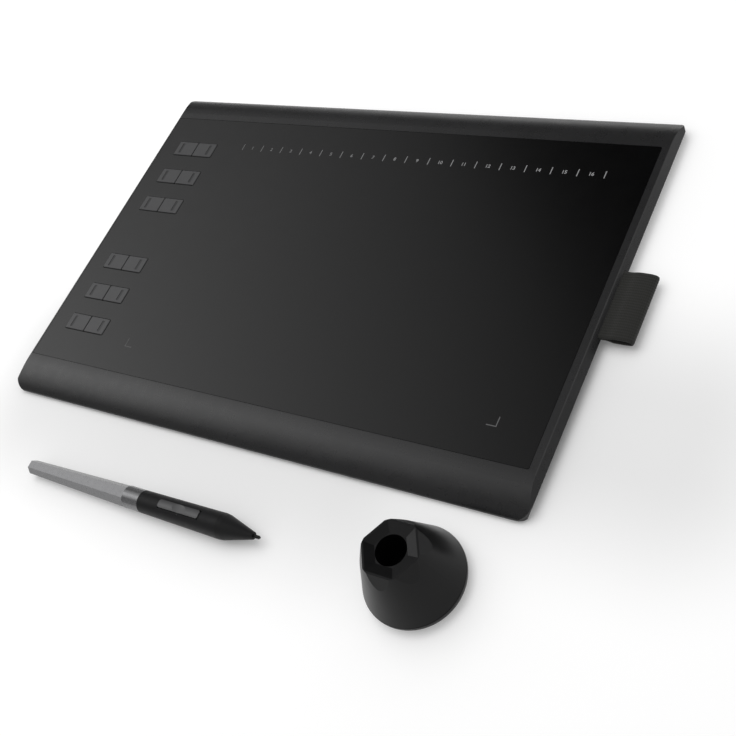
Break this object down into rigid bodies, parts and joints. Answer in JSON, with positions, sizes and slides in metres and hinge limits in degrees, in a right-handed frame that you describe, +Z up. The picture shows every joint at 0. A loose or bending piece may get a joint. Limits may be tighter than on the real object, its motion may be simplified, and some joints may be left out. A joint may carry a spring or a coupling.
{
  "type": "graphics tablet",
  "caption": "Flat drawing tablet with pairs of press keys beside a textured work surface, an elastic pen loop, a pen with a side switch, and a cone-shaped pen holder.",
  "frame": {"origin": "on the desk under the centre of the tablet's outline", "axes": "+X to the tablet's right along its length, +Y to its back edge, +Z up from the desk"},
  "size_m": [0.377, 0.3094, 0.037],
  "materials": {
    "housing": "fine moulded texture, satin",
    "underside": "moulded texture",
    "sheet": "fine paper-like texture",
    "key": "satin moulded",
    "rubber": "plain",
    "steel": "plain",
    "board": "solder mask",
    "chip": "moulded",
    "can": "plain",
    "shield": "rolled sheet",
    "cable": "film",
    "loop": "woven elastic",
    "pen_grip": "soft touch",
    "pen_body": "satin metallic paint",
    "rocker": "polished",
    "nib": "plain",
    "copper": "enamelled wire",
    "carrier": "moulded",
    "holder": "satin moulded",
    "ballast": "turned"
  },
  "bodies": {
    "tablet": {"top_housing": "housing", "lower_housing": "underside", "work_surface": "sheet", "rubber_feet": "rubber", "housing_screws": "steel", "main_board": "board", "main_board_chips": "chip", "key_switches": "can", "digitiser_board": "board", "shield_plate": "shield", "ribbon_cable": "cable", "usb_socket": "steel", "usb_tongue": "chip", "pen_loop": "loop", "loop_clamp": "steel", "clamp_screws": "steel"},
    "key_1_left": {"key_1_left": "key"},
    "key_1_right": {"key_1_right": "key"},
    "key_2_left": {"key_2_left": "key"},
    "key_2_right": {"key_2_right": "key"},
    "key_3_left": {"key_3_left": "key"},
    "key_3_right": {"key_3_right": "key"},
    "key_4_left": {"key_4_left": "key"},
    "key_4_right": {"key_4_right": "key"},
    "key_5_left": {"key_5_left": "key"},
    "key_5_right": {"key_5_right": "key"},
    "key_6_left": {"key_6_left": "key"},
    "key_6_right": {"key_6_right": "key"},
    "pen": {"pen_front_barrel": "pen_grip", "pen_rear_barrel": "pen_body", "pen_tail_cap": "pen_body", "pen_contacts": "can", "pen_coil": "copper", "pen_sensor": "chip", "pen_carrier": "carrier", "pen_board": "board"},
    "nib": {"pen_nib": "nib"},
    "rocker": {"pen_rocker": "rocker"},
    "holder_base": {"holder_base": "holder", "holder_pad": "rubber", "holder_ballast": "ballast", "spare_nibs": "nib", "nib_puller": "steel"},
    "holder_shell": {"holder_shell": "holder"}
  },
  "joints": [
    {"name": "key_1_left_press", "type": "slide", "parent": "tablet", "child": "key_1_left", "axis": [0, 0, 1], "range_m": [-0.0005, 0], "stiffness_N_per_m": 1500, "springref_m": 0.0005},
    {"name": "key_1_right_press", "type": "slide", "parent": "tablet", "child": "key_1_right", "axis": [0, 0, 1], "range_m": [-0.0005, 0], "stiffness_N_per_m": 1500, "springref_m": 0.0005},
    {"name": "key_2_left_press", "type": "slide", "parent": "tablet", "child": "key_2_left", "axis": [0, 0, 1], "range_m": [-0.0005, 0], "stiffness_N_per_m": 1500, "springref_m": 0.0005},
    {"name": "key_2_right_press", "type": "slide", "parent": "tablet", "child": "key_2_right", "axis": [0, 0, 1], "range_m": [-0.0005, 0], "stiffness_N_per_m": 1500, "springref_m": 0.0005},
    {"name": "key_3_left_press", "type": "slide", "parent": "tablet", "child": "key_3_left", "axis": [0, 0, 1], "range_m": [-0.0005, 0], "stiffness_N_per_m": 1500, "springref_m": 0.0005},
    {"name": "key_3_right_press", "type": "slide", "parent": "tablet", "child": "key_3_right", "axis": [0, 0, 1], "range_m": [-0.0005, 0], "stiffness_N_per_m": 1500, "springref_m": 0.0005},
    {"name": "key_4_left_press", "type": "slide", "parent": "tablet", "child": "key_4_left", "axis": [0, 0, 1], "range_m": [-0.0005, 0], "stiffness_N_per_m": 1500, "springref_m": 0.0005},
    {"name": "key_4_right_press", "type": "slide", "parent": "tablet", "child": "key_4_right", "axis": [0, 0, 1], "range_m": [-0.0005, 0], "stiffness_N_per_m": 1500, "springref_m": 0.0005},
    {"name": "key_5_left_press", "type": "slide", "parent": "tablet", "child": "key_5_left", "axis": [0, 0, 1], "range_m": [-0.0005, 0], "stiffness_N_per_m": 1500, "springref_m": 0.0005},
    {"name": "key_5_right_press", "type": "slide", "parent": "tablet", "child": "key_5_right", "axis": [0, 0, 1], "range_m": [-0.0005, 0], "stiffness_N_per_m": 1500, "springref_m": 0.0005},
    {"name": "key_6_left_press", "type": "slide", "parent": "tablet", "child": "key_6_left", "axis": [0, 0, 1], "range_m": [-0.0005, 0], "stiffness_N_per_m": 1500, "springref_m": 0.0005},
    {"name": "key_6_right_press", "type": "slide", "parent": "tablet", "child": "key_6_right", "axis": [0, 0, 1], "range_m": [-0.0005, 0], "stiffness_N_per_m": 1500, "springref_m": 0.0005},
    {"name": "pen_lift", "type": "slide", "parent": "tablet", "child": "pen", "axis": [0, 0, 1], "range_m": [0, 0.12]},
    {"name": "nib_press", "type": "slide", "parent": "pen", "child": "nib", "axis": [-0.9999, 0, -0.0114], "range_m": [0, 0.0004], "stiffness_N_per_m": 2500, "springref_m": -0.0002},
    {"name": "rocker_tilt", "type": "hinge", "parent": "pen", "child": "rocker", "pos_m": [-0.00296, -0.167, 0.01218], "axis": [0, 1, 0], "range_deg": [-2.2, 2.2], "stiffness_Nm_per_rad": 0.35},
    {"name": "holder_lift", "type": "slide", "parent": "tablet", "child": "holder_base", "axis": [0, 0, 1], "range_m": [0, 0.12]},
    {"name": "holder_twist", "type": "hinge", "parent": "holder_base", "child": "holder_shell", "pos_m": [0.1384, -0.1619, 0], "axis": [0, 0, 1], "continuous": true}
  ]
}
